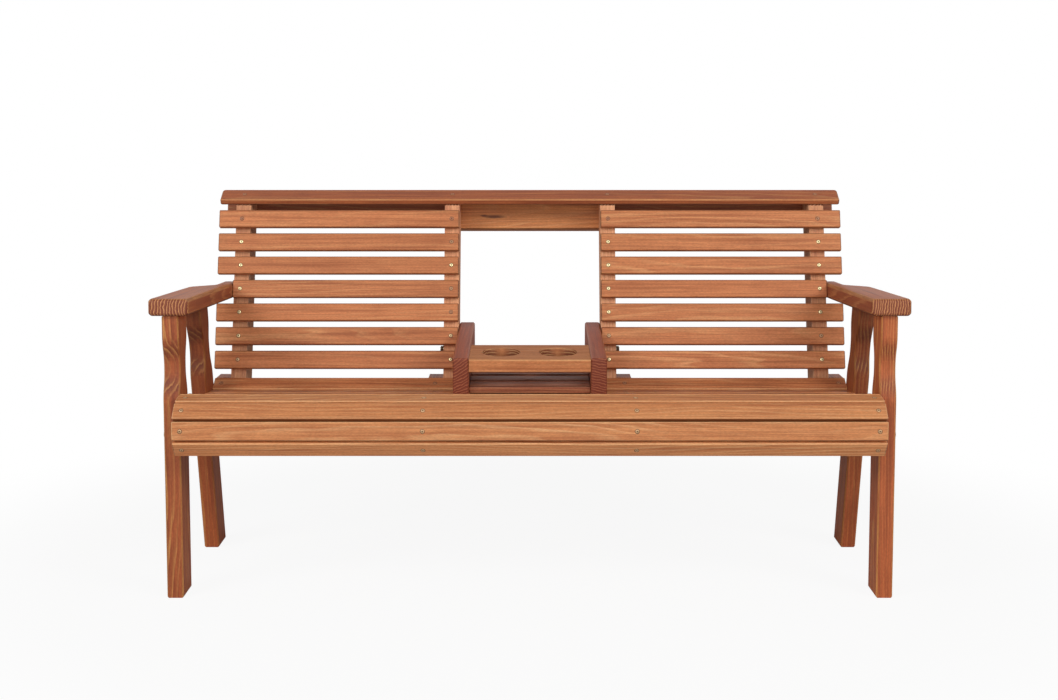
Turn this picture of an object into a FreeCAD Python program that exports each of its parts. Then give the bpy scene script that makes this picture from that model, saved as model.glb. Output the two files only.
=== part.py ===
import FreeCAD, Part
import math
import os
import Sketcher

# A slatted wooden bench for two, with a console between the seats that folds down out of the back.
# X runs along the bench, Y from front to back and Z up. The sizes below are measured from the front
# face of the front legs and from the floor, and the finished pieces are moved so that the origin
# lies on the floor under the middle of the bench.

doc = FreeCAD.newDocument("companion_bench")
sheet = doc.addObject("Spreadsheet::Sheet", "Sizes")

driving_sizes = [
    ("slat_run", 1556.0, "length of the seat slats"),
    ("back_overhang", 2.0, "rear rails and back slats beyond the ends of the seat slats"),
    ("cap_overhang", 3.7, "cap beyond the ends of the seat slats"),
    ("board_thick", 37.0, "thickness of legs, uprights, supports, rear rails and console arms"),
    ("board_width", 87.0, "width of the same boards"),
    ("slat_thick", 19.0, "thickness of every slat"),
    ("slat_width", 44.5, "width of every slat"),
    ("edge_radius", 4.0, "eased edges of the slats and of the boards' ends"),
    ("edge_bevel", 3.0, "bevel round the faces of the legs, console arms and cap"),
    ("armrest_bevel", 5.5, "bevel round the faces of the armrests"),
    ("tail_end_radius", 24.0, "rounded upper corner of the supports' tails"),
    ("tail_foot_radius", 8.0, "rounded lower corner of the supports' tails and of the uprights' feet"),
    ("upright_radius", 6.0, "rounded rear corner of the uprights above the rail"),
    ("console_bay", 355.2, "clear width between the two inner uprights"),
    ("apron_reach", 92.7, "upright apron slat's face, in front of the legs"),
    ("apron_level", 376.6, "lower edge of the upright apron slat, above the floor"),
    ("seat_gap", 8.3, "gap between the slats of the seat"),
    ("roll_gap", 5.5, "gap between the slats that turn round the front, at their outer faces"),
    ("roll_gap_inside", 1.2, "the same gap at their inner faces"),
    ("support_foot", 343.0, "underside of the supports at their front end"),
    ("support_fall", 2.4, "slope of the supports' underside, degrees"),
    ("support_tail", 12.4, "rise of the supports' tail above the end of the last slat's underside"),
    ("leg_splay", 15.96, "slant of the rear legs, degrees"),
    ("rear_foot", 417.0, "front edge of a rear leg at the floor"),
    ("waist_level", 520.0, "middle of the legs' waist"),
    ("waist_half", 20.0, "half of the waist's straight length"),
    ("waist_run", 39.0, "height over which the leg narrows"),
    ("waist_depth", 15.0, "how deep the waist is cut on each side"),
    ("waist_radius", 90.0, "curves into and out of the waist"),
    ("arm_level", 678.6, "top of the armrests at their front end"),
    ("arm_fall", 2.15, "slope of the armrests to the back, degrees"),
    ("arm_thick", 38.5, "thickness of the armrests"),
    ("arm_outside", 27.8, "armrest beyond the outer face of its front leg"),
    ("arm_inside", 25.0, "armrest beyond the inner face of its front leg"),
    ("arm_reach", 15.0, "armrest's front end, in front of the leg"),
    ("arm_front_radius", 12.0, "rounded front corners of the armrests"),
    ("arm_taper", 13.0, "how much narrower the armrest's outer edge gets before its curve"),
    ("arm_curve_start", 350.0, "where the armrest's outer edge turns in"),
    ("arm_curve_end", 412.0, "where it runs straight again"),
    ("arm_curve_radius", 42.0, "bends at both ends of that curve"),
    ("arm_neck", 37.0, "width of the armrest beside the upright"),
    ("arm_tail", 534.0, "rear end of the armrests"),
    ("arm_tail_radius", 14.0, "rounded outer corner at that end"),
    ("recline", 15.5, "back's lean from the vertical, degrees"),
    ("back_foot", 401.4, "face of the back slats at the level of the back's datum"),
    ("back_datum", 450.0, "level at which the back's place is measured"),
    ("first_back_slat", 476.8, "middle of the lowest back slat"),
    ("back_pitch", 59.25, "back slats, middle to middle along the slope"),
    ("back_rows", 7, "back slats on each side"),
    ("cap_front", 525.6, "front top edge of the cap, behind the legs' front"),
    ("cap_level", 866.0, "front top edge of the cap, above the floor"),
    ("cap_tilt", 28.0, "slope of the cap, rear edge higher, degrees"),
    ("cap_width", 50.0, "width of the cap"),
    ("cap_thick", 17.0, "thickness of the cap"),
    ("cap_corner", 8.0, "rounded rear corners of the cap"),
    ("rail_level", 786.2, "lower front edge of the rear rail behind the console"),
    ("side_rail_level", 797.0, "lower front edge of the rear rails behind the seats"),
    ("pivot_back", 464.7, "console pivot, behind the legs' front"),
    ("pivot_level", 495.0, "console pivot, above the floor"),
    ("console_reach", 358.7, "pivot to the tips of the console arms"),
    ("console_tail", 70.0, "pivot to the rear end of the console arms"),
    ("console_front", 30.5, "pivot to the arms' front edge, the lower one when folded down"),
    ("console_rows", 6, "slats of the console"),
    ("console_recess", 13.4, "first console slat behind the tips of the arms"),
    ("console_play", 0.9, "gap between a console arm and its upright"),
    ("rest_gap", 0.35, "gap left under the console's tips when it lies on the seat"),
    ("tail_round", 15.0, "rounded upper rear corner of the console arms, folded down"),
    ("tail_under", 14.0, "rounded lower rear corner of the console arms"),
    ("cup_board_thick", 31.5, "thickness of the cup board"),
    ("cup_board_depth", 157.0, "depth of the cup board"),
    ("cup_board_sink", 3.0, "cup board's face below the arms' edges"),
    ("cup_board_inset", 1.0, "cup board behind the arms' tips"),
    ("cup_radius", 44.5, "radius of the cup holes"),
    ("cup_spacing", 132.0, "cup holes, middle to middle"),
    ("bolt_radius", 4.75, "carriage bolts"),
    ("bolt_fit", 0.05, "radial play of a bolt in its hole"),
    ("bolt_inset", 28.0, "bolts from the edges of the boards"),
    ("bolt_step", 40.0, "rise between the two bolts of an upright"),
    ("head_radius", 10.5, "carriage bolt head"),
    ("head_rise", 5.0, "height of that head"),
    ("head_crown", 6.5, "flat crown of that head"),
    ("head_play", 0.3, "play beside a console arm, at the bolt's head and at the spacer"),
    ("washer_radius", 10.3, "washers"),
    ("washer_thick", 2.0, "thickness of a washer"),
    ("nut_flats", 14.3, "hexagon nut across its flats"),
    ("nut_thick", 6.0, "thickness of a nut"),
    ("bolt_tail", 1.5, "bolt end beyond its nut"),
]

# Tilt of each slat round the seat, from the lowest apron slat over the crest to the rear slat.
slat_tilts = [128.5, 90.0, 42.0, 8.0, -10.0, -13.5, -10.5, -9.0, -8.0, -6.0, -4.0, 30.0]
apron_slats = 4

for row, (alias, value, note) in enumerate(driving_sizes, start=1):
    sheet.set(f"A{row}", note)
    sheet.set(f"B{row}", str(value))
    sheet.setAlias(f"B{row}", alias)
doc.recompute()


def size(alias):
    return float(sheet.get(alias))


def turned(angle):
    # unit direction in the side view, degrees from the backward level line
    return math.cos(math.radians(angle)), math.sin(math.radians(angle))


# Places along the bench, outwards from the middle
half_run = size("slat_run") / 2
half_back = half_run + size("back_overhang")
thick = size("board_thick")
width = size("board_width")
inner_upright = size("console_bay") / 2
inner_support = inner_upright + thick
outer_support = half_run - thick
sides = (("left", -1), ("right", 1))

# Rounding of a bevelled board's corners, wide enough for the bevel to follow it
board_corner = 1.5 * size("edge_bevel")


# The seat's contour in the side view, as the front corner of each slat's upper face
def seat_stations():
    corners = []
    y = z = 0.0
    for number, tilt in enumerate(slat_tilts):
        corners.append((y, z, tilt))
        if number + 1 == len(slat_tilts):
            break
        along = turned(tilt)
        across = turned((tilt + slat_tilts[number + 1]) / 2)
        gap = size("roll_gap") if number + 1 < apron_slats else size("seat_gap")
        y += size("slat_width") * along[0] + gap * across[0]
        z += size("slat_width") * along[1] + gap * across[1]
    shift_y = -size("apron_reach") - corners[1][0]
    shift_z = size("apron_level") - corners[1][1]
    return [(y + shift_y, z + shift_z, tilt) for y, z, tilt in corners]


stations = seat_stations()


# How far the inner corner is cut back where an apron slat meets the next one: the edges would be
# parallel to the line that halves the turn, but for the gap that narrows towards the inside
def turn_bevel(number):
    half = math.radians(slat_tilts[number] - slat_tilts[number + 1]) / 2
    closing = (size("roll_gap") - size("roll_gap_inside")) / 2
    return size("slat_thick") * math.tan(half) - closing / math.cos(half)


def bevels(number):
    before = turn_bevel(number - 1) if 0 < number < apron_slats else 0.0
    after = turn_bevel(number) if number < apron_slats - 1 else 0.0
    return before, after


# Upper edge of a support: the undersides of the slats, one after another
def support_seat_line():
    line = []
    for number, (y, z, tilt) in enumerate(stations):
        before, after = bevels(number)
        cos, sin = turned(tilt)
        deep = size("slat_thick")
        for along in (before, size("slat_width") - after):
            line.append((y + along * cos + deep * sin, z + along * sin - deep * cos))
    return line


seat_line = support_seat_line()


def support_top(y):
    # underside of the slats over the supports at this distance from the front
    for (y0, z0), (y1, z1) in zip(seat_line, seat_line[1:]):
        if y0 <= y <= y1:
            return z0 + (z1 - z0) * (y - y0) / (y1 - y0)
    return seat_line[-1][1] + size("support_tail")


def support_bottom(y):
    nose = seat_line[0][0]
    return size("support_foot") - math.tan(math.radians(size("support_fall"))) * (y - nose)


# The leaning planes of the back: back_up runs up their slope
lean = math.tan(math.radians(size("recline")))
upright = 90.0
back_tilt = upright - size("recline")
back_up = turned(back_tilt)
level_depth = 1 / math.cos(math.radians(size("recline")))


def slat_face(z):
    return size("back_foot") + lean * (z - size("back_datum"))


def upright_front(z):
    return slat_face(z) + size("slat_thick") * level_depth


def upright_rear(z):
    return upright_front(z) + width * level_depth


# Underside of the armrests
arm_slope = math.tan(math.radians(size("arm_fall")))


def arm_under(y):
    fall = arm_slope * (y + size("arm_reach"))
    return size("arm_level") - size("arm_thick") / math.cos(math.radians(size("arm_fall"))) - fall


# Rear leg edges
splay = math.tan(math.radians(size("leg_splay")))
leg_depth = width / math.cos(math.radians(size("leg_splay")))


def rear_leg_front(z):
    return size("rear_foot") - splay * z


# Middle of the whole bench from front to back: the apron's face and the higher rails' rear corner
def bench_middle():
    low_y = upright_rear(max(size("rail_level"), size("side_rail_level")))
    cos, sin = back_up
    corner = low_y + width * cos + thick * sin
    rounding = size("edge_radius")
    farthest = corner - rounding * (cos + sin) + rounding
    return (farthest - size("apron_reach")) / 2


middle = bench_middle()


def seat_surface(y):
    # level and slope of the slats' upper faces at this distance from the front, bridging the gaps
    points = []
    for y0, z0, tilt in stations[apron_slats - 1:]:
        cos, sin = turned(tilt)
        points.append((y0, z0))
        points.append((y0 + size("slat_width") * cos, z0 + size("slat_width") * sin))
    for (y0, z0), (y1, z1) in zip(points, points[1:]):
        if y <= y1:
            break
    slope = (z1 - z0) / (y1 - y0)
    return z0 + slope * (y - y0), slope


# The console's lie: the eased lower corner of its tips rests on the seat slat below them.
# Each pass finds the seat's level under the corner that the last tilt gives.
tilt_passes = 40


def console_rest_tilt():
    rounding = board_corner
    along = size("console_reach") - rounding
    below = size("console_front") - rounding
    dip = math.atan2(below, along)
    tilt = 0.0
    for _ in range(tilt_passes):
        corner_y = size("pivot_back") - math.hypot(along, below) * math.cos(tilt + dip)
        level, slope = seat_surface(corner_y)
        corner_z = level + (rounding + size("rest_gap")) * math.hypot(1, slope)
        tilt = math.asin((size("pivot_level") - corner_z) / math.hypot(along, below)) - dip
    return math.degrees(tilt)


rest_tilt = console_rest_tilt()
swing = upright + size("recline") + rest_tilt
print("console rest tilt", round(rest_tilt, 3), "swing", round(swing, 3))


# Geometry of a closed outline whose corners are (u, v) or (u, v, rounding)
def outline_edges(corners):
    legs = []
    count = len(corners)
    for number in range(count):
        before = FreeCAD.Vector(*corners[number - 1][:2])
        here = FreeCAD.Vector(*corners[number][:2])
        after = FreeCAD.Vector(*corners[(number + 1) % count][:2])
        rounding = corners[number][2] if len(corners[number]) > 2 else 0
        back = (before - here).normalize()
        on = (after - here).normalize()
        half = back.getAngle(on) / 2
        if rounding == 0 or half > math.pi / 2 - 1e-4:
            legs.append((here, None, here))
            continue
        cut = rounding / math.tan(half)
        bulge = rounding / math.sin(half) - rounding
        halfway = (back + on).normalize()
        legs.append((here + back * cut, here + halfway * bulge, here + on * cut))
    edges = []
    for number, (start, mid, end) in enumerate(legs):
        if mid is not None:
            edges.append(Part.Arc(start, mid, end))
        following = legs[(number + 1) % count][0]
        if end.distanceToPoint(following) > 1e-6:
            edges.append(Part.LineSegment(end, following))
    return edges


# Joins the ends of neighbouring edges in a sketch
def tie_ends(sketch, count):
    ties = []
    for number in range(count):
        following = (number + 1) % count
        pairs = [(a, b) for a in (1, 2) for b in (1, 2)]
        spans = {(a, b): sketch.getPoint(number, a).distanceToPoint(sketch.getPoint(following, b))
                 for a, b in pairs}
        here, there = min(spans, key=spans.get)
        ties.append(Sketcher.Constraint("Coincident", number, here, following, there))
    sketch.addConstraint(ties)


def origin_plane(body, role):
    return [plane for plane in body.Origin.OriginFeatures if plane.Role == role][0]


def new_sketch(body, name, role):
    sketch = body.newObject("Sketcher::SketchObject", name)
    sketch.AttachmentSupport = [(origin_plane(body, role), "")]
    sketch.MapMode = "FlatFace"
    return sketch


def add_circle(sketch, u, v, aliases):
    # a hole whose radius is the sum of the named sizes
    radius = sum(size(alias) for alias in aliases)
    circle = Part.Circle(FreeCAD.Vector(u, v, 0), FreeCAD.Vector(0, 0, 1), radius)
    index = sketch.addGeometry(circle)
    number = sketch.addConstraint(Sketcher.Constraint("Radius", index, radius))
    sketch.setExpression(f"Constraints[{number}]", " + ".join(f"Sizes.{alias}" for alias in aliases))


def place(body, x, y, z, tilt=0.0):
    turn = FreeCAD.Rotation(FreeCAD.Vector(1, 0, 0), tilt)
    body.Placement = FreeCAD.Placement(FreeCAD.Vector(x, y - middle, z), turn)


def round_edges(body, feature, edges, alias="edge_radius"):
    fillet = body.newObject("PartDesign::Fillet", "Fillet")
    fillet.Base = (feature, edges)
    fillet.Radius = size(alias)
    fillet.setExpression("Radius", f"Sizes.{alias}")


def bevel_edges(body, feature, edges, alias):
    chamfer = body.newObject("PartDesign::Chamfer", "Chamfer")
    chamfer.Base = (feature, edges)
    chamfer.Size = size(alias)
    chamfer.setExpression("Size", f"Sizes.{alias}")


# A board cut to an outline in the side view or in plan, with the holes of its bolts
def outlined_board(label, corners, role="YZ_Plane", holes=(), rule="Sizes.board_thick", bevel=None):
    body = doc.addObject("PartDesign::Body", label)
    body.Label = label
    sketch = new_sketch(body, "Outline", role)
    edges = outline_edges(corners)
    sketch.addGeometry(edges)
    tie_ends(sketch, len(edges))
    for u, v in holes:
        add_circle(sketch, u, v, ["bolt_radius", "bolt_fit"])
    pad = body.newObject("PartDesign::Pad", "Board")
    pad.Profile = sketch
    pad.setExpression("Length", rule)
    doc.recompute()
    if bevel:
        bevel_edges(body, pad, rim_edges(pad.Shape, role), bevel)
    return body


# Edges round both faces of a board, leaving out the rims of its holes
def rim_edges(shape, role):
    axis = {"YZ_Plane": "x", "XY_Plane": "z"}[role]
    box = shape.BoundBox
    low, high = {"x": (box.XMin, box.XMax), "z": (box.ZMin, box.ZMax)}[axis]
    names = []
    for number, edge in enumerate(shape.Edges, start=1):
        ends = [getattr(vertex.Point, axis) for vertex in edge.Vertexes]
        flat = len(ends) == 2 and abs(ends[0] - ends[1]) < 1e-6
        if flat and (abs(ends[0] - low) < 1e-6 or abs(ends[0] - high) < 1e-6):
            names.append(f"Edge{number}")
    return names


# A plain slat: a rectangle drawn from its upper front corner, padded along X, its long edges eased
def plain_slat(label, length, run_expression=None):
    body = doc.addObject("PartDesign::Body", label)
    body.Label = label
    sketch = new_sketch(body, "Section", "YZ_Plane")
    deep, wide = size("slat_thick"), size("slat_width")
    points = [(0, -deep), (wide, -deep), (wide, 0), (0, 0)]
    for (u0, v0), (u1, v1) in zip(points, points[1:] + points[:1]):
        sketch.addGeometry(Part.LineSegment(FreeCAD.Vector(u0, v0, 0), FreeCAD.Vector(u1, v1, 0)))
    rules = [Sketcher.Constraint("Coincident", n, 2, (n + 1) % 4, 1) for n in range(4)]
    rules += [Sketcher.Constraint("Horizontal", 0), Sketcher.Constraint("Horizontal", 2)]
    rules += [Sketcher.Constraint("Vertical", 1), Sketcher.Constraint("Vertical", 3)]
    rules.append(Sketcher.Constraint("Coincident", 3, 1, -1, 1))
    sketch.addConstraint(rules)
    across = sketch.addConstraint(Sketcher.Constraint("DistanceX", 0, 1, 0, 2, wide))
    down = sketch.addConstraint(Sketcher.Constraint("DistanceY", 1, 1, 1, 2, deep))
    sketch.setExpression(f"Constraints[{across}]", "Sizes.slat_width")
    sketch.setExpression(f"Constraints[{down}]", "Sizes.slat_thick")
    pad = body.newObject("PartDesign::Pad", "Slat")
    pad.Profile = sketch
    pad.Length = length
    if run_expression:
        pad.setExpression("Length", run_expression)
    doc.recompute()
    long_edges = [f"Edge{number}" for number, edge in enumerate(pad.Shape.Edges, start=1)
                  if abs(edge.Length - length) < 1e-6 and edge.BoundBox.XLength > length - 1e-3]
    round_edges(body, pad, long_edges)
    return body


# Distances out from the middle of the bench, as rules on the driving sizes
leg_rule = "Sizes.slat_run / 2"
outer_support_rule = "Sizes.slat_run / 2 - Sizes.board_thick"
outer_upright_rule = "Sizes.slat_run / 2 - 2 * Sizes.board_thick"
inner_upright_rule = "Sizes.console_bay / 2"
inner_support_rule = "Sizes.console_bay / 2 + Sizes.board_thick"
console_arm_rule = "Sizes.console_bay / 2 - Sizes.console_play - Sizes.board_thick"


# Puts a board of one side of the bench at its distance from the middle
def set_across(body, side, rule, deep="Sizes.board_thick"):
    body.setExpression("Placement.Base.x", rule if side > 0 else f"-({rule}) - {deep}")


# Heights of the four corners of the legs' waist, from below
def waist_levels():
    mid, half, run = size("waist_level"), size("waist_half"), size("waist_run")
    return mid - half - run, mid - half, mid + half, mid + half + run


def waisted_edge(edge_at, inset):
    # one edge of a leg from below to above; inset is positive towards the back
    bend = size("waist_radius")
    low, lower, upper, high = waist_levels()
    return [(edge_at(low), low, bend), (edge_at(lower) + inset, lower, bend),
            (edge_at(upper) + inset, upper, bend), (edge_at(high), high, bend)]


def front_leg_bolts():
    inset = size("bolt_inset")
    behind = width - inset
    return [(inset, support_bottom(inset) + inset), (behind, support_top(behind) - inset)]


def rear_leg_bolts():
    centre = rear_leg_front(size("apron_level")) + leg_depth / 2
    level = (support_bottom(centre) + support_top(centre)) / 2
    inset = size("bolt_inset")
    front = rear_leg_front(level)
    return [(front + inset, level), (front + leg_depth - inset, level)]


def upright_bolts():
    places = []
    level = support_bottom(upright_front(size("support_foot"))) + size("bolt_inset")
    for step in range(2):
        z = level + step * size("bolt_step")
        places.append(((upright_front(z) + upright_rear(z)) / 2, z))
    return places


def front_leg(name, side):
    deep = size("waist_depth")
    corners = [(0, 0), (width, 0)]
    corners += waisted_edge(lambda z: width, -deep)
    corners += [(width, arm_under(width)), (0, arm_under(0))]
    corners += reversed(waisted_edge(lambda z: 0.0, deep))
    body = outlined_board(f"front_leg_{name}", corners, holes=front_leg_bolts(), bevel="edge_bevel")
    place(body, 0, 0, 0)
    set_across(body, side, leg_rule)


def leg_top(edge):
    # where a slanted leg edge, edge behind the leg's front, meets the armrest's underside
    start = size("rear_foot") + edge
    level = arm_under(start) / (1 - arm_slope * splay)
    return start - splay * level, level


def rear_leg(name, side):
    deep = size("waist_depth") / math.cos(math.radians(size("leg_splay")))
    foot = size("rear_foot")
    corners = [(foot, 0), (foot + leg_depth, 0)]
    corners += waisted_edge(lambda z: rear_leg_front(z) + leg_depth, -deep)
    corners += [leg_top(leg_depth), leg_top(0)]
    corners += reversed(waisted_edge(rear_leg_front, deep))
    body = outlined_board(f"rear_leg_{name}", corners, holes=rear_leg_bolts(), bevel="edge_bevel")
    place(body, 0, 0, 0)
    set_across(body, side, leg_rule)


# Armrest: wide over the front leg, drawn in by an S-curve to lie against the outer upright
def armrest(name, side):
    outer = half_run + thick + size("arm_outside")
    inner = half_run - size("arm_inside")
    run = 1 / math.cos(math.radians(size("arm_fall")))
    level_end = upright_front(arm_under(size("arm_tail")))
    ends = [(place_y + size("arm_reach")) * run for place_y in
            (size("arm_curve_start"), size("arm_curve_end"), size("arm_tail"), level_end)]
    curve_start, curve_end, tail, beside = ends
    neck = outer_support + size("arm_neck")
    front, bend = size("arm_front_radius"), size("arm_curve_radius")
    corners = [(inner, 0, front), (outer, 0, front), (outer - size("arm_taper"), curve_start, bend),
               (neck, curve_end, bend), (neck, tail, size("arm_tail_radius")),
               (outer_support, tail), (outer_support, beside)]
    corners = [(side * corner[0],) + corner[1:] for corner in corners]
    body = outlined_board(f"armrest_{name}", corners, role="XY_Plane", rule="Sizes.arm_thick",
                          bevel="armrest_bevel")
    place(body, 0, -size("arm_reach"), arm_under(-size("arm_reach")), -size("arm_fall"))


# Contoured support: the slats' undersides, a nose for the apron and a rounded tail behind the upright
def seat_support(label, side, rule, holes):
    nose_y = seat_line[0][0] + size("slat_thick") / 2
    last_y, last_z = seat_line[-1]
    tail = last_z + size("support_tail")
    foot_y = upright_rear(support_bottom(upright_rear(size("support_foot"))))
    corners = list(seat_line)
    corners.append((last_y + size("slat_thick") / 2, tail, size("edge_radius")))
    corners.append((upright_rear(tail), tail, size("tail_end_radius")))
    corners.append((foot_y, support_bottom(foot_y), size("tail_foot_radius")))
    corners.append((nose_y, support_bottom(nose_y)))
    body = outlined_board(label, corners, holes=holes)
    place(body, 0, 0, 0)
    set_across(body, side, rule)


# Underside of the cap in the side view, at a distance along its tilt
def cap_under(along):
    cos, sin = turned(size("cap_tilt"))
    deep = size("cap_thick")
    y = size("cap_front") + deep * sin + along * cos
    return y, size("cap_level") - deep * cos + along * sin


def back_upright(label, side, rule, holes):
    cos, sin = turned(size("cap_tilt"))
    start_y, start_z = cap_under(0)
    seat_from = (upright_front(start_z) - start_y) / (cos - lean * sin)
    rail_top = size("rail_level") + width * back_up[1]
    low_front = support_bottom(upright_front(size("support_foot")))
    low_rear = support_bottom(upright_rear(low_front))
    corners = [(upright_front(low_front), low_front),
               (upright_rear(low_rear), low_rear, size("tail_foot_radius")),
               (upright_rear(rail_top), rail_top, size("upright_radius")),
               cap_under(size("cap_width")) + (size("edge_radius"),), cap_under(seat_from)]
    body = outlined_board(label, corners, holes=holes)
    place(body, 0, 0, 0)
    set_across(body, side, rule)


# Lower front corner of a back slat, row 0 being the lowest
def back_slat_corner(row):
    rise = row * size("back_pitch") - size("slat_width") / 2
    y = slat_face(size("first_back_slat")) + rise * back_up[0]
    return y, size("first_back_slat") + rise * back_up[1]


def beside_armrest(row):
    # whether the armrest passes the slat's outer end
    y, z = back_slat_corner(row)
    top = z + size("slat_width") * back_up[1]
    below = arm_under(y) < top + size("edge_radius")
    return below and z < arm_under(y) + size("arm_thick") + size("edge_radius")


def back_slat(name, side, row):
    y, z = back_slat_corner(row)
    if beside_armrest(row):
        rule = "Sizes.slat_run / 2 - Sizes.board_thick - Sizes.console_bay / 2"
        length = outer_support - inner_upright
    else:
        rule = "Sizes.slat_run / 2 + Sizes.back_overhang - Sizes.console_bay / 2"
        length = half_back - inner_upright
    number = int(size("back_rows")) - row
    body = plain_slat(f"back_slat_{name}_{number}", length, rule)
    place(body, 0, y, z, back_tilt)
    set_across(body, side, inner_upright_rule, f"({rule})")


def seat_slat(number):
    y, z, tilt = stations[number]
    if number < apron_slats:
        before, after = bevels(number)
        deep, wide, bend = size("slat_thick"), size("slat_width"), size("edge_radius")
        corners = [(before, -deep), (wide - after, -deep), (wide, 0, bend), (0, 0, bend)]
        body = outlined_board(f"apron_slat_{number + 1}", corners, rule="Sizes.slat_run")
    else:
        body = plain_slat(f"seat_slat_{number + 1 - apron_slats}", 2 * half_run, "Sizes.slat_run")
    place(body, 0, y, z, tilt)
    body.setExpression("Placement.Base.x", "-Sizes.slat_run / 2")


def top_cap():
    bend, deep = size("cap_corner"), size("cap_width")
    half = half_run + size("cap_overhang")
    corners = [(-half, 0, board_corner), (half, 0, board_corner), (half, deep, bend), (-half, deep, bend)]
    body = outlined_board("top_cap", corners, role="XY_Plane", rule="Sizes.cap_thick", bevel="edge_bevel")
    y, z = cap_under(0)
    place(body, 0, y, z, size("cap_tilt"))


# Rear rails: three boards end to end, which meet behind the middles of the inner uprights
def rear_rail(label, side, level):
    meet_rule = "(Sizes.console_bay + Sizes.board_thick) / 2"
    rule = "Sizes.console_bay + Sizes.board_thick"
    if side:
        rule = f"Sizes.slat_run / 2 + Sizes.back_overhang - {meet_rule}"
    bend = size("edge_radius")
    corners = [(0, 0, bend), (thick, 0, bend), (thick, width, bend), (0, width, bend)]
    body = outlined_board(label, corners, rule=rule)
    place(body, 0, upright_rear(size(level)), size(level), -size("recline"))
    if side:
        set_across(body, side, meet_rule, f"({rule})")
    else:
        body.setExpression("Placement.Base.x", f"-({rule}) / 2")


# The console is drawn about its pivot with its tips towards the front, then laid on the seat
console_top = width - size("console_front")
console_inner = inner_upright - size("console_play") - thick


def place_on_console(body, along, above):
    # along is measured from the pivot to the back, above across the arms
    cos, sin = turned(rest_tilt)
    y = size("pivot_back") + along * cos - above * sin
    z = size("pivot_level") + along * sin + above * cos
    place(body, 0, y, z, rest_tilt)


def console_arm(name, side):
    reach, tail = size("console_reach"), size("console_tail")
    low = -size("console_front")
    corners = [(-reach, low, board_corner), (tail, low, size("tail_under")),
               (tail, console_top, size("tail_round")), (-reach, console_top, board_corner)]
    body = outlined_board(f"console_arm_{name}", corners, holes=[(0, 0)], bevel="edge_bevel")
    place_on_console(body, 0, 0)
    set_across(body, side, console_arm_rule)


# Raised, the console's slats carry on the rows of the back; the first is next to the tips
def console_slat(row):
    rule = "Sizes.console_bay - 2 * Sizes.console_play - 2 * Sizes.board_thick"
    body = plain_slat(f"console_slat_{row + 1}", 2 * console_inner, rule)
    front = size("console_recess") + row * size("back_pitch") - size("console_reach")
    place_on_console(body, front, size("slat_thick") - size("console_front"))
    body.setExpression("Placement.Base.x", f"-({rule}) / 2")


def cup_board():
    deep = size("cup_board_depth")
    corners = [(-console_inner, 0), (console_inner, 0), (console_inner, deep), (-console_inner, deep)]
    body = outlined_board("cup_board", corners, role="XY_Plane", rule="Sizes.cup_board_thick")
    full = body.Tip.Shape.Volume
    sketch = new_sketch(body, "CupHoles", "XY_Plane")
    for side in (-1, 1):
        add_circle(sketch, side * size("cup_spacing") / 2, deep / 2, ["cup_radius"])
    pocket = body.newObject("PartDesign::Pocket", "CupPocket")
    pocket.Profile = sketch
    pocket.Type = "ThroughAll"
    pocket.Reversed = True
    doc.recompute()
    cut = 2 * math.pi * size("cup_radius") ** 2 * size("cup_board_thick")
    if abs(full - cut - pocket.Shape.Volume) > 1:
        raise RuntimeError("the cup holes are not cut through the board")
    front = [f"Edge{number}" for number, edge in enumerate(pocket.Shape.Edges, start=1)
             if edge.BoundBox.YMax < 1e-6 and edge.BoundBox.XLength > console_inner]
    round_edges(body, pocket, front)
    above = console_top - size("cup_board_sink") - size("cup_board_thick")
    place_on_console(body, size("cup_board_inset") - size("console_reach"), above)


# Fasteners are turned about X; each node holds one solid for each place
def carriage_bolt(grip):
    rise, head, shank = size("head_rise"), size("head_radius"), size("bolt_radius")
    length = grip + size("washer_thick") + size("nut_thick") + size("bolt_tail")
    path = [(-rise, 0), (-rise, size("head_crown")), (0, head), (0, shank), (length, shank), (length, 0)]
    section = Part.makePolygon([FreeCAD.Vector(x, y, 0) for x, y in path + path[:1]])
    return Part.Face(section).revolve(FreeCAD.Vector(0, 0, 0), FreeCAD.Vector(1, 0, 0), 360)


def ring(radius, deep):
    bore = size("bolt_radius") + size("bolt_fit")
    axis = FreeCAD.Vector(1, 0, 0)
    solid = Part.makeCylinder(radius, deep, FreeCAD.Vector(0, 0, 0), axis)
    return solid.cut(Part.makeCylinder(bore, deep, FreeCAD.Vector(0, 0, 0), axis))


def nut():
    radius = size("nut_flats") / 2 / math.cos(math.radians(30))
    corners = [FreeCAD.Vector(0, radius * math.cos(math.radians(60 * n)),
                              radius * math.sin(math.radians(60 * n))) for n in range(7)]
    solid = Part.Face(Part.makePolygon(corners)).extrude(FreeCAD.Vector(size("nut_thick"), 0, 0))
    bore = size("bolt_radius") + size("bolt_fit")
    return solid.cut(Part.makeCylinder(bore, size("nut_thick"), FreeCAD.Vector(0, 0, 0),
                                       FreeCAD.Vector(1, 0, 0)))


def moved(shape, start, toward, y, z):
    # a fastener that starts at X = start and runs towards toward, which is 1 or -1
    copy = shape.copy()
    if toward < 0:
        copy.rotate(FreeCAD.Vector(0, 0, 0), FreeCAD.Vector(0, 0, 1), 180)
    copy.translate(FreeCAD.Vector(start, y - middle, z))
    return copy


def group(label, solids):
    feature = doc.addObject("Part::Feature", label)
    feature.Label = label
    feature.Shape = Part.makeCompound(solids)
    return feature


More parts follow.
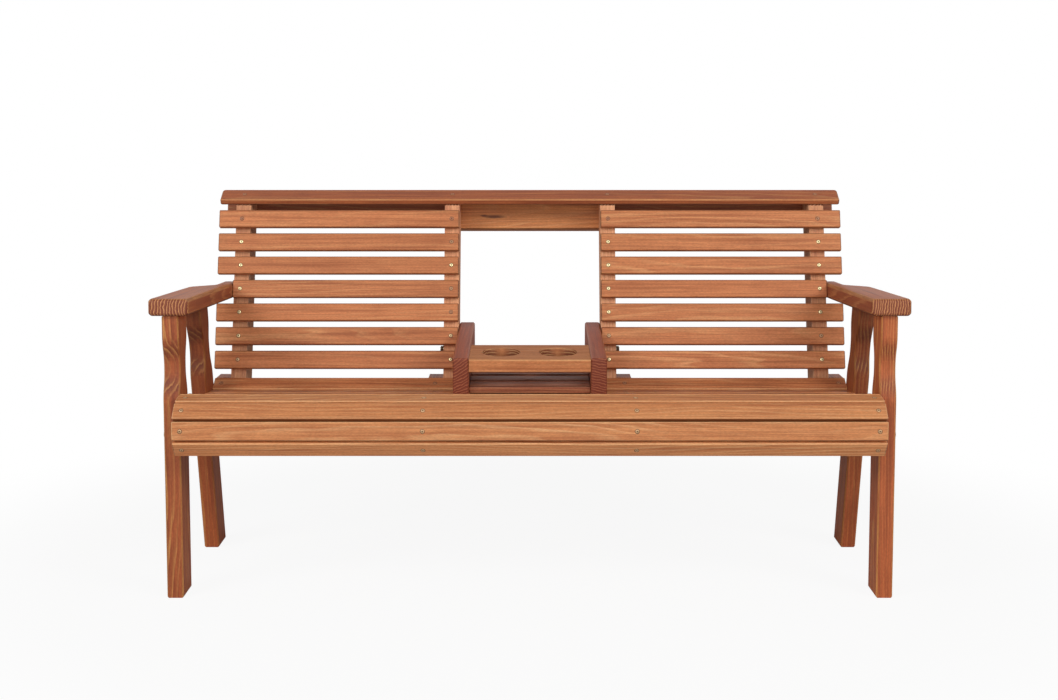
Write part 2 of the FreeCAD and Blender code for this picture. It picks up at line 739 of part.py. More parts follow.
def carriage_fasteners():
    grip = 2 * thick
    joints = []
    for side in (-1, 1):
        for y, z in front_leg_bolts() + rear_leg_bolts():
            joints.append((side * (half_run + thick), -side, y, z))
        for y, z in upright_bolts():
            joints.append((side * half_run, -side, y, z))
            joints.append((side * (inner_support + thick), -side, y, z))
    group("carriage_bolts", [moved(carriage_bolt(grip), *joint) for joint in joints])
    ends = [(start + toward * grip, toward, y, z) for start, toward, y, z in joints]
    group("carriage_washers", [moved(ring(size("washer_radius"), size("washer_thick")), *end)
                               for end in ends])
    seats = [(start + toward * size("washer_thick"), toward, y, z) for start, toward, y, z in ends]
    group("carriage_nuts", [moved(nut(), *seat) for seat in seats])


def pivot_fasteners():
    play = size("head_play")
    y, z = size("pivot_back"), size("pivot_level")
    heads = [(side * (console_inner - play), side, y, z) for side in (-1, 1)]
    grip = inner_upright + thick - console_inner + play
    group("pivot_bolts", [moved(carriage_bolt(grip), *head) for head in heads])
    spacer = ring(size("washer_radius"), size("console_play") - play)
    group("pivot_spacers", [moved(spacer, side * inner_upright, -side, y, z) for side in (-1, 1)])
    outside = inner_upright + thick
    washer = ring(size("washer_radius"), size("washer_thick"))
    group("pivot_washers", [moved(washer, side * outside, side, y, z) for side in (-1, 1)])
    seat = outside + size("washer_thick")
    group("pivot_nuts", [moved(nut(), side * seat, side, y, z) for side in (-1, 1)])


for name, side in sides:
    front_leg(name, side)
    rear_leg(name, side)
    armrest(name, side)
    leg_holes = front_leg_bolts() + rear_leg_bolts()
    seat_support(f"outer_support_{name}", side, outer_support_rule, leg_holes + upright_bolts())
    seat_support(f"inner_support_{name}", side, inner_support_rule, upright_bolts())
    back_upright(f"outer_upright_{name}", side, outer_upright_rule, upright_bolts())
    pivot_hole = [(size("pivot_back"), size("pivot_level"))]
    back_upright(f"inner_upright_{name}", side, inner_upright_rule, upright_bolts() + pivot_hole)
    for row in range(int(size("back_rows"))):
        back_slat(name, side, row)
    console_arm(name, side)
    rear_rail(f"rear_rail_{name}", side, "side_rail_level")
rear_rail("rear_rail", 0, "rail_level")
for number in range(len(stations)):
    seat_slat(number)
top_cap()
for row in range(int(size("console_rows"))):
    console_slat(row)
cup_board()
carriage_fasteners()
pivot_fasteners()
doc.recompute()

for feature in doc.Objects:
    if "Invalid" in feature.State or "Error" in feature.State:
        raise RuntimeError(f"{feature.Label} did not build: {feature.State}")
pieces = [feature for feature in doc.Objects
          if feature.TypeId in ("PartDesign::Body", "Part::Feature")]
for piece in pieces:
    if piece.Shape.isNull() or not piece.Shape.isValid():
        raise RuntimeError(f"{piece.Label} has no valid shape")
os.makedirs("parts", exist_ok=True)
for piece in pieces:
    piece.Shape.exportStep(f"parts/{piece.Label}.step")
print(len(pieces), "pieces written")
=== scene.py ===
import math

import bmesh
import bpy
import numpy as np
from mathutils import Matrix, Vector


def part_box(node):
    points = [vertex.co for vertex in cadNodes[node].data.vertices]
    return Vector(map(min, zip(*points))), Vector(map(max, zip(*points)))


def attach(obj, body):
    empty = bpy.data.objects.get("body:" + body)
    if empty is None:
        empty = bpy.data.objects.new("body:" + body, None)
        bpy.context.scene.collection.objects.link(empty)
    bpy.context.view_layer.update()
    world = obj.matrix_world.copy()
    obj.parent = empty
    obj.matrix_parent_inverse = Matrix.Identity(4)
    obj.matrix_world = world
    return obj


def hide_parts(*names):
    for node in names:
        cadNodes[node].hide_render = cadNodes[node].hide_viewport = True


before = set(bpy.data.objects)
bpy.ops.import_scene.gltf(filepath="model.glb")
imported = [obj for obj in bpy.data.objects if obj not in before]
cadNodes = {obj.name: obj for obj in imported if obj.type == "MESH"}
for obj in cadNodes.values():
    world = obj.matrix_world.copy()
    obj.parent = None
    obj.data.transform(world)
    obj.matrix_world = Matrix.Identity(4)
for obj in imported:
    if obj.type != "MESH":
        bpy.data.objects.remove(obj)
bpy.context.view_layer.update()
mm = 0.001
xAxis = Vector((1, 0, 0))
print("frame loaded,", len(cadNodes), "CAD pieces")


def linearColour(code):
    # sRGB hex to the linear values that shader sockets take
    channels = [int(code[i:i + 2], 16) / 255 for i in (1, 3, 5)]
    return [c / 12.92 if c <= 0.04045 else ((c + 0.055) / 1.055) ** 2.4 for c in channels] + [1.0]


def feedNode(tree, node, links):
    # gives a node's inputs, in order or by key, a value, another node's socket, or a node whose
    # first output is meant
    for key, value in links.items() if isinstance(links, dict) else enumerate(links):
        if isinstance(value, bpy.types.Node):
            value = value.outputs[0]
        if isinstance(value, bpy.types.NodeSocket):
            tree.links.new(value, node.inputs[key])
        else:
            node.inputs[key].default_value = value


def addNode(tree, kind, links=(), **settings):
    node = tree.nodes.new(kind)
    for name, value in settings.items():
        setattr(node, name, value)
    feedNode(tree, node, links)
    return node


def sideDirection(angle):
    # unit direction in the side view, degrees up from the backward level line
    return Vector((0, math.cos(math.radians(angle)), math.sin(math.radians(angle))))


def newMaterial(name):
    material = bpy.data.materials.new(name)
    material.use_nodes = True
    return material, material.node_tree, material.node_tree.nodes["Principled BSDF"]


def plainObject(name, source):
    # the evaluated result of an object as a plain mesh at the origin, in place of the object
    graph = bpy.context.evaluated_depsgraph_get()
    evaluated = source.evaluated_get(graph)
    mesh = bpy.data.meshes.new_from_object(evaluated, depsgraph=graph)
    mesh.name = name
    result = bpy.data.objects.new(name, mesh)
    bpy.context.scene.collection.objects.link(result)
    old = source.data
    bpy.data.objects.remove(source)
    bpy.data.meshes.remove(old)
    return result


# Southern yellow pine, planed, edges eased, under one coat of oil stain: the soft early wood
# takes up the stain and turns red-brown, the hard late wood stays as pale golden lines.
pine = {
    "patterns": {
        # noise: length and width of its features along and across the board in mm, detail, roughness
        "wander": (1300.0, 400.0, 1.0, 0.5),  # the pith's way along a board
        "ripple": (150.0, 14.0, 2.0, 0.5),    # waviness of the year rings
        "fibre": (190.0, 2.6, 3.0, 0.6),      # drawn coarser than real fibres so that it shows
        "streak": (420.0, 9.0, 2.0, 0.5),     # where the stain stood longer
        "flame": (924.0, 45.0, 1.0, 0.5),     # where the late wood comes and goes
        "blotch": (70.0, 35.0, 3.0, 0.5),
        "fleck": (7.0, 2.6, 2.0, 0.6),        # pores and torn fibres, again coarser than real
    },
    "effects": {
        # effect: its noise, between which values it comes in, and its strength at both
        "pale": ("flame", 0.38, 0.66, 0.15, 1.0),
        "unbroken": ("fibre", 0.3, 0.62, 0.35, 1.0),
        "darkStreak": ("streak", 0.5, 0.72, 0.0, 0.8),
        "darkFibre": ("fibre", 0.36, 0.6, 0.5, 0.0),
        "darkBlotch": ("blotch", 0.45, 0.75, 0.0, 0.35),
    },
    "swing": 4,            # noise strays a quarter from its middle, so sizes in mm are raised by this
    "ringSpacing": 6.2,    # mm between year rings
    "ringWander": 26.0,    # mm that the pith strays
    "rippleSize": 1.9,     # mm
    # how pale a ring is, from the start of its early wood to the end of its late wood
    "ringTone": ((0.0, 0.0), (0.45, 0.12), (0.82, 1.0), (0.97, 0.0)),
    "endStainAndShade": 0.9,       # share of its own dark colour that end grain takes, and the painted shade on the armrests' sides and the cup board's top
    "endLines": 0.75,      # share of the rings' pale lines that stays there
    "rubbedAndLit": (1.4, -0.15),     # blotches by which an upper arris is paled, rubbed and partly a painted highlight: times, plus
    "mostRubbedAndLit": 0.9,
    "darkenedAbove": (-0.36, 0.36),  # darkening of upper arrises, less on worn boards: times, plus
    "shadeBelow": (-0.25, 0.72),  # painted shade on lower arrises, the same way
    "toneSpread": 0.22,    # how much a board's tone counts, with the painted shade some boards carry in it
    "fleckDepth": 0.62,    # share of the tone
    "fibreGloss": 0.22,    # spread of roughness over the fibres
    "lateGloss": -0.1,     # late wood is smoother
    "ior": 1.48,
    "specular": 0.35,
    "lateRise": 0.6,       # late wood and fibres stand up by these shares of the bump
    "fibreRise": 0.7,
    "bumpStrength": 0.55,
    "bumpDepth": 0.25,     # mm
    "knotRim": (0.4, 1.0, 0.85, 0.0),  # where a knot fades into the wood, from and to what strength
    "knotRagged": 0.9,
    "knotColour": "#4A2414",
}


def stainedPine(name, ground, lateWood, deep, endGrainAndShade, roughness=0.55, knots=()):
    material, tree, surface = newMaterial(name)
    carried = {}
    for attribute in ("grainCoord", "boardLook", "endGrainAndShade", "arris"):
        carried[attribute] = addNode(tree, "ShaderNodeAttribute", attribute_name=attribute).outputs
    look = addNode(tree, "ShaderNodeSeparateXYZ", [carried["boardLook"]["Vector"]]).outputs
    boardTone, figure, arrisWearAndLight = look["X"], look["Y"], look["Z"]
    grain = carried["grainCoord"]["Vector"]
    endAndShadeMask = carried["endGrainAndShade"]["Fac"]
    arris = carried["arris"]["Fac"]

    noises = {}
    for pattern, (length, width, detail, rough) in pine["patterns"].items():
        features = (1000 / length, 1000 / width, 1000 / width)
        placed = addNode(tree, "ShaderNodeMapping", {"Vector": grain, "Scale": features})
        noises[pattern] = addNode(tree, "ShaderNodeTexNoise", {
            "Vector": placed, "Scale": 1.0, "Detail": detail, "Roughness": rough})
    effects = {}
    for effect, (pattern, *limits) in pine["effects"].items():
        effects[effect] = addNode(tree, "ShaderNodeMapRange", [noises[pattern], *limits])
    fibre = noises["fibre"]

    # distance from the pith, which wanders along the board
    stray = pine["swing"] * pine["ringWander"] * mm
    wavy = pine["swing"] * pine["rippleSize"] * mm
    wander = noises["wander"].outputs["Color"]
    wander = addNode(tree, "ShaderNodeVectorMath", [wander, (0.5, 0.5, 0.5)], operation="SUBTRACT")
    place = addNode(tree, "ShaderNodeVectorMath", [wander, (0, stray, stray), grain],
                    operation="MULTIPLY_ADD")
    place = addNode(tree, "ShaderNodeVectorMath", [place, (0, 1, 1)], operation="MULTIPLY")
    radius = addNode(tree, "ShaderNodeVectorMath", [place], operation="LENGTH").outputs["Value"]
    radius = addNode(tree, "ShaderNodeMath", [noises["ripple"], wavy, radius],
                     operation="MULTIPLY_ADD")
    ring = addNode(tree, "ShaderNodeMath", [radius, pine["ringSpacing"] * mm], operation="DIVIDE")
    ring = addNode(tree, "ShaderNodeMath", [ring], operation="FRACT")
    ringTone = addNode(tree, "ShaderNodeValToRGB", [ring])
    ramp = ringTone.color_ramp
    ramp.interpolation = "EASE"
    for spot, value in pine["ringTone"]:
        stop = ramp.elements[0] if spot == 0.0 else ramp.elements.new(spot)
        stop.position = spot
        stop.color = (value, value, value, 1)
    ramp.elements.remove(ramp.elements[-1])
    ringLine = addNode(tree, "ShaderNodeSeparateColor", [ringTone])

    # late wood shows in flames that come and go, by the board's own figure
    lateShare = effects["pale"]
    for factor in (figure, ringLine, effects["unbroken"]):
        lateShare = addNode(tree, "ShaderNodeMath", [lateShare, factor], operation="MULTIPLY")
    colour = linearColour(ground)
    for share, over in ((effects["darkStreak"], deep), (effects["darkFibre"], deep),
                        (effects["darkBlotch"], deep), (lateShare, lateWood)):
        colour = addNode(tree, "ShaderNodeMix", {"Factor": share, 6: colour, 7: linearColour(over)},
                         data_type="RGBA").outputs[2]

    for middle, size in knots:
        ragged = addNode(tree, "ShaderNodeMath", [fibre, 0.5], operation="SUBTRACT")
        ragged = addNode(tree, "ShaderNodeMath", [ragged, pine["knotRagged"]], operation="MULTIPLY")
        spot = addNode(tree, "ShaderNodeTexCoord").outputs["Object"]
        spot = addNode(tree, "ShaderNodeVectorMath", [spot, middle], operation="SUBTRACT")
        spot = addNode(tree, "ShaderNodeVectorMath", [spot, size], operation="DIVIDE")
        spot = addNode(tree, "ShaderNodeVectorMath", [spot], operation="LENGTH").outputs["Value"]
        spot = addNode(tree, "ShaderNodeMath", [spot, ragged], operation="ADD")
        shade = addNode(tree, "ShaderNodeMapRange", [spot, *pine["knotRim"]])
        colour = addNode(tree, "ShaderNodeMix", {
            "Factor": shade, 6: colour, 7: linearColour(pine["knotColour"])},
            data_type="RGBA").outputs[2]

    # cut across the fibres the wood takes up most, except in the rings' hard lines; the same dark
    # colour is painted shade on the armrests' sides and the cup board's top
    paleLines = addNode(tree, "ShaderNodeMath", [endAndShadeMask, pine["endLines"]], operation="MULTIPLY")
    paleLines = addNode(tree, "ShaderNodeMath", [ringLine, paleLines], operation="MULTIPLY")
    endTone = addNode(tree, "ShaderNodeMix", {
        "Factor": paleLines, 6: linearColour(endGrainAndShade), 7: linearColour(lateWood)},
        data_type="RGBA").outputs[2]
    endShare = addNode(tree, "ShaderNodeMath", [endAndShadeMask, pine["endStainAndShade"]], operation="MULTIPLY")
    colour = addNode(tree, "ShaderNodeMix", {"Factor": endShare, 6: colour, 7: endTone},
                     data_type="RGBA").outputs[2]

    # arrises: paled above, a painted highlight where the rounding catches the light and partly rubbed
    # where hands and trousers pass; darkened below with painted shade
    upper = addNode(tree, "ShaderNodeMath", [arris, 0.0], operation="MAXIMUM")
    lower = addNode(tree, "ShaderNodeMath", [arris, -1.0], operation="MULTIPLY")
    lower = addNode(tree, "ShaderNodeMath", [lower, 0.0], operation="MAXIMUM")
    patchy = addNode(tree, "ShaderNodeMath", [noises["blotch"], *pine["rubbedAndLit"]],
                     operation="MULTIPLY_ADD")
    # upper arrises paled: a painted highlight, partly wear
    wornAndHighlit = addNode(tree, "ShaderNodeMath", [upper, arrisWearAndLight], operation="MULTIPLY")
    wornAndHighlit = addNode(tree, "ShaderNodeMath", [wornAndHighlit, patchy], operation="MULTIPLY")
    wornAndHighlit = addNode(tree, "ShaderNodeMath", [wornAndHighlit, pine["mostRubbedAndLit"]], operation="MINIMUM")
    colour = addNode(tree, "ShaderNodeMix", {"Factor": wornAndHighlit, 6: colour, 7: linearColour(lateWood)},
                     data_type="RGBA").outputs[2]
    # the arrises' darkening: painted shade on lower arrises, and a darker line on the upper arrises
    # of unworn boards
    above = addNode(tree, "ShaderNodeMath", [arrisWearAndLight, *pine["darkenedAbove"]], operation="MULTIPLY_ADD")
    below = addNode(tree, "ShaderNodeMath", [arrisWearAndLight, *pine["shadeBelow"]], operation="MULTIPLY_ADD")
    arrisDarkening = addNode(tree, "ShaderNodeMath", [upper, above], operation="MULTIPLY")
    arrisDarkening = addNode(tree, "ShaderNodeMath", [lower, below, arrisDarkening], operation="MULTIPLY_ADD")
    left = addNode(tree, "ShaderNodeMath", [1.0, arrisDarkening], operation="SUBTRACT")
    depth = pine["fleckDepth"]
    flecks = addNode(tree, "ShaderNodeMath", [noises["fleck"], depth, 1 - depth / 2],
                     operation="MULTIPLY_ADD")
    tone = addNode(tree, "ShaderNodeMath", [boardTone, pine["toneSpread"], 1.0],
                   operation="MULTIPLY_ADD")
    for factor in (left, flecks):
        tone = addNode(tree, "ShaderNodeMath", [tone, factor], operation="MULTIPLY")
    colour = addNode(tree, "ShaderNodeVectorMath", {0: colour, "Scale": tone}, operation="SCALE")

    spread = pine["fibreGloss"]
    gloss = addNode(tree, "ShaderNodeMath", [fibre, spread, roughness - spread / 2],
                    operation="MULTIPLY_ADD")
    gloss = addNode(tree, "ShaderNodeMath", [lateShare, pine["lateGloss"], gloss],
                    operation="MULTIPLY_ADD")
    height = addNode(tree, "ShaderNodeMath", [fibre, pine["fibreRise"]], operation="MULTIPLY")
    height = addNode(tree, "ShaderNodeMath", [lateShare, pine["lateRise"], height],
                     operation="MULTIPLY_ADD")
    relief = addNode(tree, "ShaderNodeBump", {
        "Height": height, "Strength": pine["bumpStrength"], "Distance": pine["bumpDepth"] * mm})
    feedNode(tree, surface, {
        "Base Color": colour, "Roughness": gloss, "IOR": pine["ior"],
        "Specular IOR Level": pine["specular"], "Normal": relief})
    return material


# the colours are those of the soft wood, the late wood, the deepest stain and the end grain, which
# last is also the painted shade on the armrests' sides and the cup board's top
frontPine = stainedPine("pineStainedFrontSlats", "#D48C58", "#EDBA84", "#A45D36", "#8A482A")
backPine = stainedPine("pineStainedBackSlats", "#CE8252", "#E6AC73", "#9C5631", "#844428")
seatPine = stainedPine("pineStainedSeat", "#D0804F", "#ECB47C", "#8C4A2B", "#7C3E25")
boardPine = stainedPine("pineStainedBoards", "#B2633B", "#D99A60", "#7E3D27", "#6E3022")
consoleArmPine = stainedPine("pineStainedConsoleArms", "#A25338", "#B26A46", "#6A2E1E", "#6E2E1E")
cupPine = stainedPine("pineStainedCupBoard", "#CB8453", "#E9B27A", "#9C5631", "#7C3E25", 0.7)
uprightPine = stainedPine("pineStainedUprights", "#D2986E", "#E6BA94", "#A8664A", "#7C3E25", 0.7)
legPine = stainedPine("pineStainedLegs", "#A85730", "#D09352", "#7A381F", "#6A2F1B")
slatBoardPine = stainedPine("pineStainedConsoleSlats", "#A56142", "#C08A60", "#6E3826", "#5E3020")
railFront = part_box("rear_rail")[0].y
railPine = stainedPine("pineStainedRail", "#D28850", "#E8B278", "#9A5432", "#6E3622", knots=[
    # middle and half lengths, m
    ((-0.092, railFront, 0.816), (0.034, 0.05, 0.0055)),
    ((-0.118, railFront, 0.819), (0.012, 0.05, 0.0035))])
print("pine finishes ready")


# Yellow zinc-plated steel, pressed and tumbled: a warm grey metal with a soft, milky shine.
zinc = {
    "grit": 2.5,           # mm, coarser than real so that it shows
    "gritDetail": 3.0,
    "bloom": 14.0,         # mm, cloudy patches of the plating
    "bloomDetail": 2.0,
    "colours": ("#8C8572", "#B2AB96"),
    "roughness": (0.25, 0.25),  # grit times, plus
    "reliefStrength": 0.2,
    "reliefDepth": 0.1,    # mm
}


def zincSteel():
    material, tree, surface = newMaterial("zincPlatedSteel")
    place = addNode(tree, "ShaderNodeTexCoord").outputs["Object"]
    dark, pale = [linearColour(code) for code in zinc["colours"]]
    grit = addNode(tree, "ShaderNodeTexNoise", {
        "Vector": place, "Scale": 1 / (zinc["grit"] * mm), "Detail": zinc["gritDetail"]})
    bloom = addNode(tree, "ShaderNodeTexNoise", {
        "Vector": place, "Scale": 1 / (zinc["bloom"] * mm), "Detail": zinc["bloomDetail"]})
    colour = addNode(tree, "ShaderNodeMix", {"Factor": bloom, 6: dark, 7: pale}, data_type="RGBA")
    rough = addNode(tree, "ShaderNodeMath", [grit, *zinc["roughness"]], operation="MULTIPLY_ADD")
    relief = addNode(tree, "ShaderNodeBump", {
        "Height": grit, "Strength": zinc["reliefStrength"], "Distance": zinc["reliefDepth"] * mm})
    feedNode(tree, surface, {
        "Base Color": colour.outputs[2], "Metallic": 1.0, "Roughness": rough, "Normal": relief})
    return material


# Yellow-chromated steel screws, cold-headed: pale brass, with painted shade in the drive recess and
# on the countersink's rim. Some heads took the wood's stain, which the screw's own attribute says.
chromate = {
    "grit": 1.5,           # mm, again coarser than real
    "gritDetail": 2.0,
    "colours": ("#C9B27A", "#EADDB2"),
    "stained": "#AA6A42",
    "recessShade": "#3A2616",
    "metal": (-0.8, 0.85),     # stain times, plus: the metal that still shows
    "roughness": (0.2, 0.3),   # grit times, plus
}


def chromatedScrew():
    material, tree, surface = newMaterial("yellowChromatedSteel")
    place = addNode(tree, "ShaderNodeTexCoord").outputs["Object"]
    stained = addNode(tree, "ShaderNodeAttribute", attribute_name="screwStain").outputs["Fac"]
    recessShade = addNode(tree, "ShaderNodeAttribute", attribute_name="recessShade").outputs["Fac"]
    grit = addNode(tree, "ShaderNodeTexNoise", {
        "Vector": place, "Scale": 1 / (chromate["grit"] * mm), "Detail": chromate["gritDetail"]})
    colour, pale = [linearColour(code) for code in chromate["colours"]]
    for share, over in ((grit, pale), (stained, linearColour(chromate["stained"])),
                        (recessShade, linearColour(chromate["recessShade"]))):
        colour = addNode(tree, "ShaderNodeMix", {"Factor": share, 6: colour, 7: over},
                         data_type="RGBA").outputs[2]
    metal = addNode(tree, "ShaderNodeMath", [stained, *chromate["metal"]], operation="MULTIPLY_ADD")
    rough = addNode(tree, "ShaderNodeMath", [grit, *chromate["roughness"]], operation="MULTIPLY_ADD")
    feedNode(tree, surface, {"Base Color": colour, "Metallic": metal, "Roughness": rough})
    return material


steel = zincSteel()
brassSteel = chromatedScrew()
print("metals ready")


def newTree(name, inputs):
    # a modifier's tree that takes and gives geometry, with named inputs of the kinds given
    tree = bpy.data.node_groups.new(name, "GeometryNodeTree")
    tree.is_modifier = True
    tree.interface.new_socket("Geometry", in_out="OUTPUT", socket_type="NodeSocketGeometry")
    for label, kind in (("Geometry", "Geometry"), *inputs):
        tree.interface.new_socket(label, in_out="INPUT", socket_type="NodeSocket" + kind)
    return tree, addNode(tree, "NodeGroupInput").outputs


def madeBy(tree, piece, mesh, values):
    # what a tree makes of a mesh, as a plain object
    source = bpy.data.objects.new(piece + "Source", mesh)
    bpy.context.scene.collection.objects.link(source)
    modifier = source.modifiers.new(tree.name, "NODES")
    modifier.node_group = tree
    for item in tree.interface.items_tree:
        if item.in_out == "INPUT" and item.name in values:
            modifier[item.identifier] = values[item.name]
    return plainObject(piece, source)


def addValues(mesh, name, rows, kind="FLOAT_VECTOR", domain="POINT"):
    attribute = mesh.attributes.new(name, kind, domain)
    key = "vector" if kind == "FLOAT_VECTOR" else "value"
    attribute.data.foreach_set(key, np.array(rows, np.float32).ravel())


# Every slat is a run along X between two points, given a rounded section, eased ends and, on
# the apron, bevelled inner edges. Its place, tilt and section are measured on its CAD piece.
slatSizes = {
    "edgeRadius": 4.0,      # mm
    "bevelledCorner": 0.6,  # mm, the same on the bevelled inner edges of the apron
    "leastBevel": 0.5,      # mm, narrower ones are none
    "faceDepth": 0.5,       # mm from its inner face within which a corner belongs to it
    "tolerance": 0.01,      # mm
    "endEasing": 2.2,       # mm, rounding of the sawn ends
    "endRings": 4,          # rings of points in that rounding
    "cornerSteps": 4,       # flats in each rounded edge
    "alongFacing": 0.1,     # faces that look along a CAD slat more than this are its ends
    "arrisLean": (0.2, 0.97),  # a rounded edge looks out of the show face by a share between these
    "outward": Vector((0, -0.8, 0.6)),  # side on which a slat's show face lies
    "tone": 0.32,           # how far boards differ in tone
    "seed": 11,
}
slatPieces = {
    # piece: body, material, nodes, least and most figure, and how worn its upper arrises are, which
    # sets their painted highlight and the painted shade on its arrises
    "apronSlats": ("bench", frontPine, "apron_slat_", (0.5, 0.75), 0.9),
    "seatSlats": ("bench", seatPine, "seat_slat_", (0.4, 0.8), 1.0),
    "backSlats": ("bench", backPine, "back_slat_", (0.25, 0.65), 0.0),
    "consoleSlats": ("console", slatBoardPine, "console_slat_", (0.2, 0.5), -0.6),
}
# what the points carry through the tree: each slat's own values, then those of its runs and section
slatValues = ("slatAcross", "slatUp", "slatTaper", "slatShift", "slatLook")
treeValues = {"runSpot": "FLOAT_VECTOR", "sectionSpot": "FLOAT_VECTOR", "runInset": "FLOAT",
              "runLength": "FLOAT"}
# how an arris is told, on slats and boards alike
arrisLimits = {
    "endFacing": 0.6,      # faces that look along the board more than this are end grain
    "slope": (3.0, 1.05),  # upward lean times, plus: 1 is an upper arris, -1 a lower one
}


def measureSlat(node):
    # place, directions and section of a slat, from its CAD mesh
    mesh = cadNodes[node].data
    flats = {}
    for face in mesh.polygons:
        if abs(face.normal.x) < slatSizes["alongFacing"]:
            key = (round(face.normal.y, 2), round(face.normal.z, 2))
            area, normal = flats.get(key, (0.0, face.normal.copy()))
            flats[key] = (area + face.area, normal)
    widest = sorted(flats.values(), key=lambda flat: -flat[0])[:2]
    up = max((normal for area, normal in widest), key=lambda normal: normal.dot(slatSizes["outward"]))
    across = Vector((0, up.z, -up.y))
    corners = [vertex.co for vertex in mesh.vertices]
    alongs = [co.x for co in corners]
    wides = [co.dot(across) for co in corners]
    deeps = [co.dot(up) for co in corners]
    taper = (0, 0, 0)
    if node.startswith("apron_slat_"):
        innerFace = min(deeps) + slatSizes["faceDepth"] * mm
        inner = [wide for wide, deep in zip(wides, deeps) if deep < innerFace]
        taper = (min(inner) - min(wides), max(wides) - max(inner), 0)
    middle = across * ((min(wides) + max(wides)) / 2) + up * ((min(deeps) + max(deeps)) / 2)
    return {
        "start": middle + xAxis * min(alongs), "end": middle + xAxis * max(alongs),
        "across": across, "up": up, "taper": taper,
        "width": max(wides) - min(wides), "thick": max(deeps) - min(deeps),
    }


